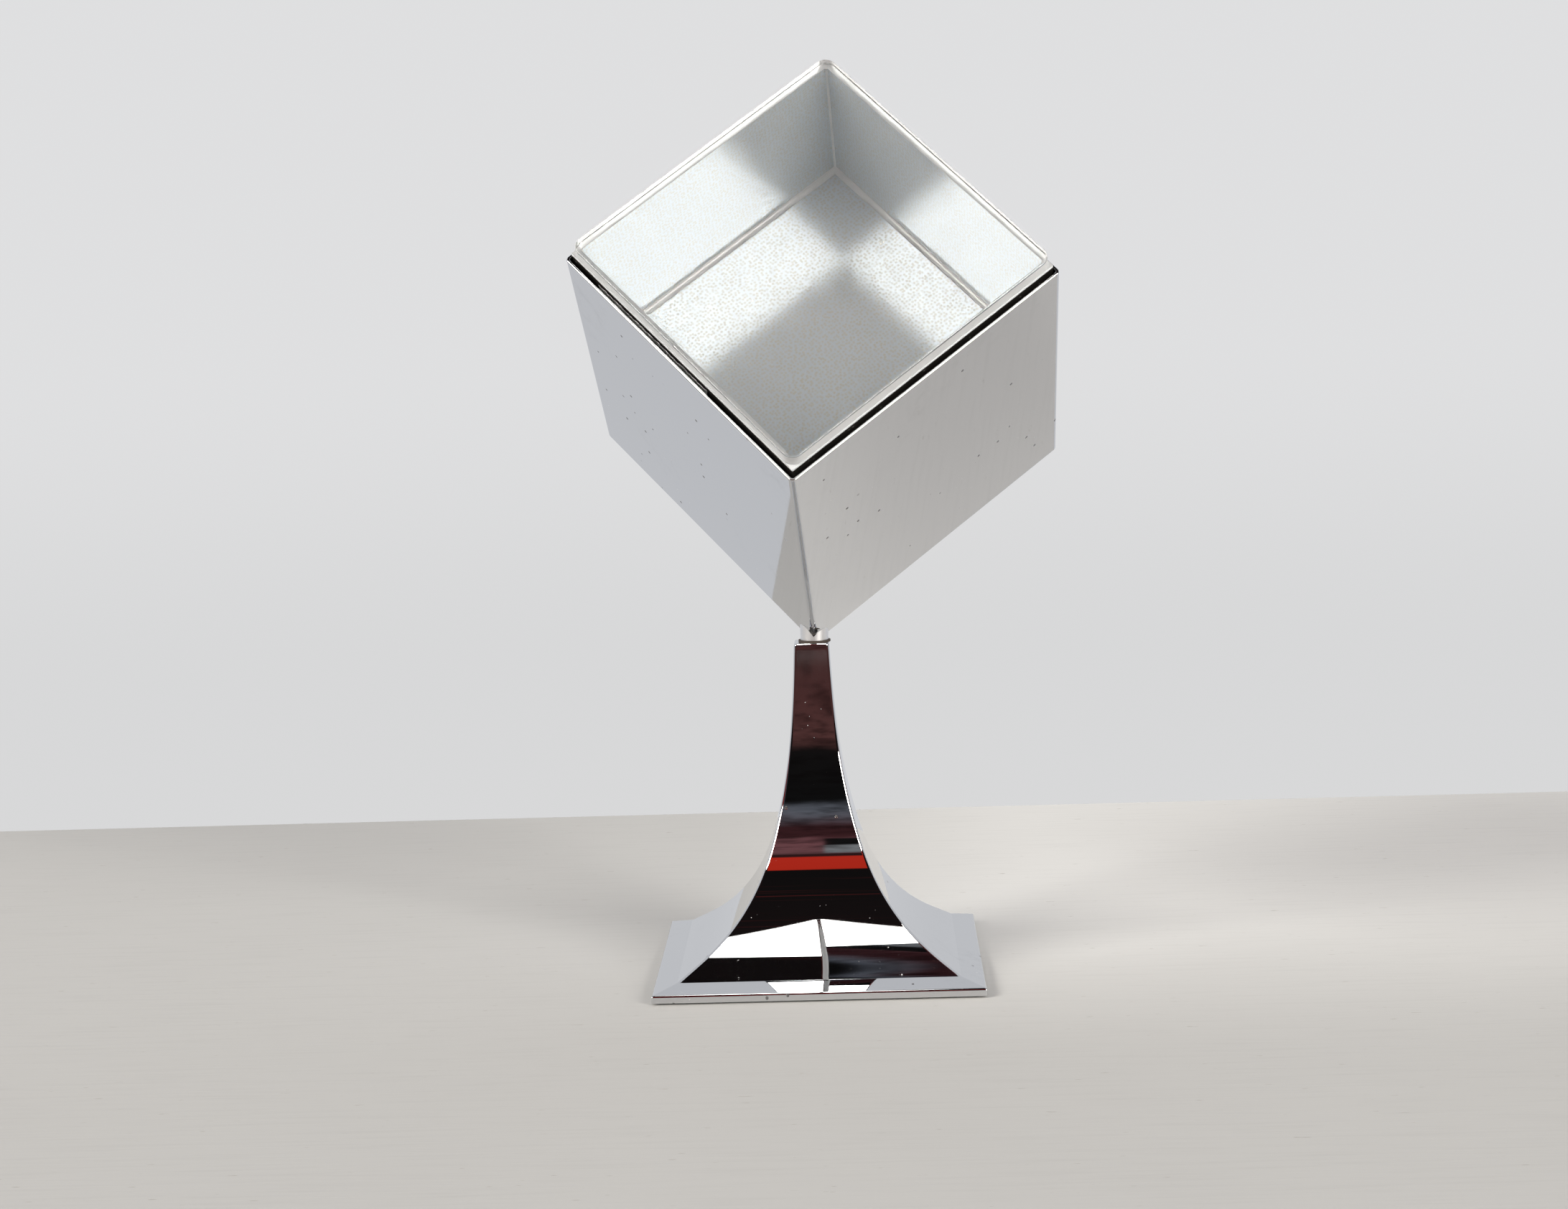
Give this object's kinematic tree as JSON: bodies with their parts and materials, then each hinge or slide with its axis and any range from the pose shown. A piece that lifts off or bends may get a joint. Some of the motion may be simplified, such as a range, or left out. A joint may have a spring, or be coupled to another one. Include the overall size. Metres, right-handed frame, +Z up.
{
  "type": "mirror cube on a flared pedestal",
  "caption": "Chromed open cube balanced on one corner on a flared square pedestal, holding a mirror-lined tray under a clear cover plate.",
  "frame": {"origin": "middle of the felt pad's underside, where the stand rests", "axes": "+Z up along the stem, -Y the front, towards which the cube's open face leans, +X the right-hand side seen from the front"},
  "size_m": [0.143, 0.1632, 0.2717],
  "materials": {
    "chrome_plate": "bright chrome plate",
    "neck_chrome": "chrome plate, slightly dulled",
    "ballast_iron": "rough casting",
    "cover_sheet": "matte black sheet",
    "plated_steel": "zinc plated",
    "felt": "dark green felt",
    "bush_nylon": "natural nylon",
    "dark_rubber": "dark fibre washer",
    "cast_alloy": "as cast",
    "black_tray": "black, satin",
    "riser_wood": "plain softwood",
    "floor_mirror": "silvered sheet with a fine dot texture",
    "wall_mirror": "silvered sheet with a fine dot texture",
    "clear_acrylic": "clear polished acrylic",
    "foil": "crumpled foil"
  },
  "bodies": {
    "stand": {"pedestal_shell": "chrome_plate", "ballast_weight": "ballast_iron", "bottom_cover": "cover_sheet", "cover_screws": "plated_steel", "felt_pad": "felt", "tie_rod": "plated_steel", "ballast_washer": "plated_steel", "ballast_nut": "plated_steel", "stem_bush": "bush_nylon", "friction_washer": "dark_rubber", "spring_washer": "plated_steel", "top_washer": "plated_steel", "top_nut": "plated_steel"},
    "cube": {"cube_shell": "chrome_plate", "neck_tube": "neck_chrome", "corner_saddle": "cast_alloy", "mirror_tray": "black_tray", "tray_risers": "riser_wood", "mirror_floor": "floor_mirror", "mirror_far_left": "wall_mirror", "mirror_far_right": "wall_mirror", "mirror_near_left": "wall_mirror", "mirror_near_right": "wall_mirror", "cover_plate": "clear_acrylic", "foil_shim": "foil"}
  },
  "joints": [
    {"name": "cube_swivel", "type": "hinge", "parent": "stand", "child": "cube", "pos_m": [0.0009, 0, 0.0998], "axis": [0, 0, 1], "continuous": true}
  ]
}
